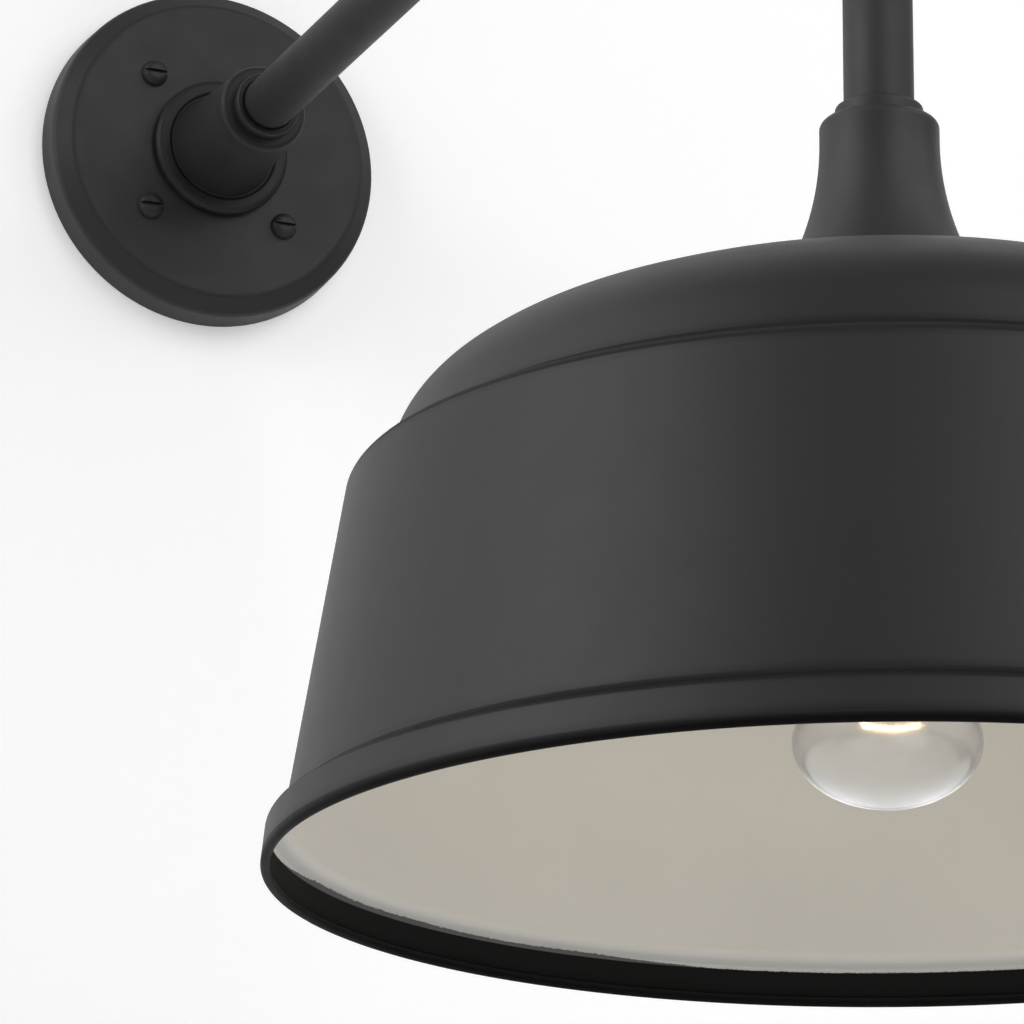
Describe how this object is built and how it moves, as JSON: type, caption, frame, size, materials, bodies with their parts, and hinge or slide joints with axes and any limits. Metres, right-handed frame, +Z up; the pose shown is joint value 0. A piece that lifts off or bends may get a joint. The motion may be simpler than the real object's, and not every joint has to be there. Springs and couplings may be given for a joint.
{
  "type": "outdoor wall lantern",
  "caption": "Gooseneck outdoor wall lantern: round wall plate, level tube arm turning down to a domed conical metal shade over a bare bulb.",
  "frame": {"origin": "centre of the wall plate on the wall's surface, which is the centre of the two outlet-box screw holes", "axes": "+Y into the wall, along the arm's level run; +Z up; +X to the right seen facing the wall"},
  "size_m": [0.3904, 0.8432, 0.5388],
  "materials": {
    "black_paint": "satin, finely textured",
    "shade_paint": "satin black outside, cream enamel inside",
    "black_rubber": "matte",
    "zinc_steel": "zinc plated",
    "dark_steel": "black oxide",
    "green_screw": "satin",
    "black_nylon": "matte",
    "cast_aluminium": "as cast",
    "porcelain": "glazed",
    "brass": "satin",
    "nickel_plate": "satin",
    "bulb_glass": "clear",
    "stem_glass": "clear",
    "black_insulator": "black vitrite",
    "bulb_wire": "drawn",
    "filament": "glowing",
    "black_lead": "satin",
    "white_lead": "satin",
    "copper": "bare copper",
    "orange_cap": "satin"
  },
  "bodies": {
    "lantern": {"wall_plate": "black_paint", "cover_screws": "black_paint", "arm_boss": "black_paint", "arm_ring": "black_paint", "arm_tube": "black_paint", "neck_ring": "black_paint", "shade_neck": "black_paint", "shade": "shade_paint", "plate_gasket": "black_rubber", "shade_gasket": "black_rubber", "mounting_ring": "zinc_steel", "boss_washer": "zinc_steel", "boss_locknut": "zinc_steel", "shade_nipple": "zinc_steel", "shade_washer": "zinc_steel", "shade_locknut": "zinc_steel", "holder_screws": "zinc_steel", "boss_set_screw": "dark_steel", "neck_set_screw": "dark_steel", "ground_screw": "green_screw", "tube_bushings": "black_nylon", "holder_cap": "cast_aluminium", "holder_body": "porcelain", "hot_terminal": "brass", "screw_shell": "brass", "neutral_terminal": "nickel_plate", "hot_wire": "black_lead", "neutral_wire": "white_lead", "ground_wire": "copper", "wire_connectors": "orange_cap"},
    "bulb": {"bulb_glass": "bulb_glass", "bulb_cap": "nickel_plate", "bulb_insulator": "black_insulator", "bulb_tip": "nickel_plate", "bulb_stem": "stem_glass", "bulb_wires": "bulb_wire", "bulb_filament": "filament"},
    "centre_contact": {"contact_plunger": "brass"}
  },
  "joints": [
    {"name": "bulb_withdraw", "type": "slide", "parent": "lantern", "child": "bulb", "axis": [0, 0, -1], "range_m": [0, 0.13]},
    {"name": "contact_press", "type": "slide", "parent": "lantern", "child": "centre_contact", "axis": [0, 0, 1], "range_m": [0, 0.0012], "stiffness_N_per_m": 800}
  ]
}
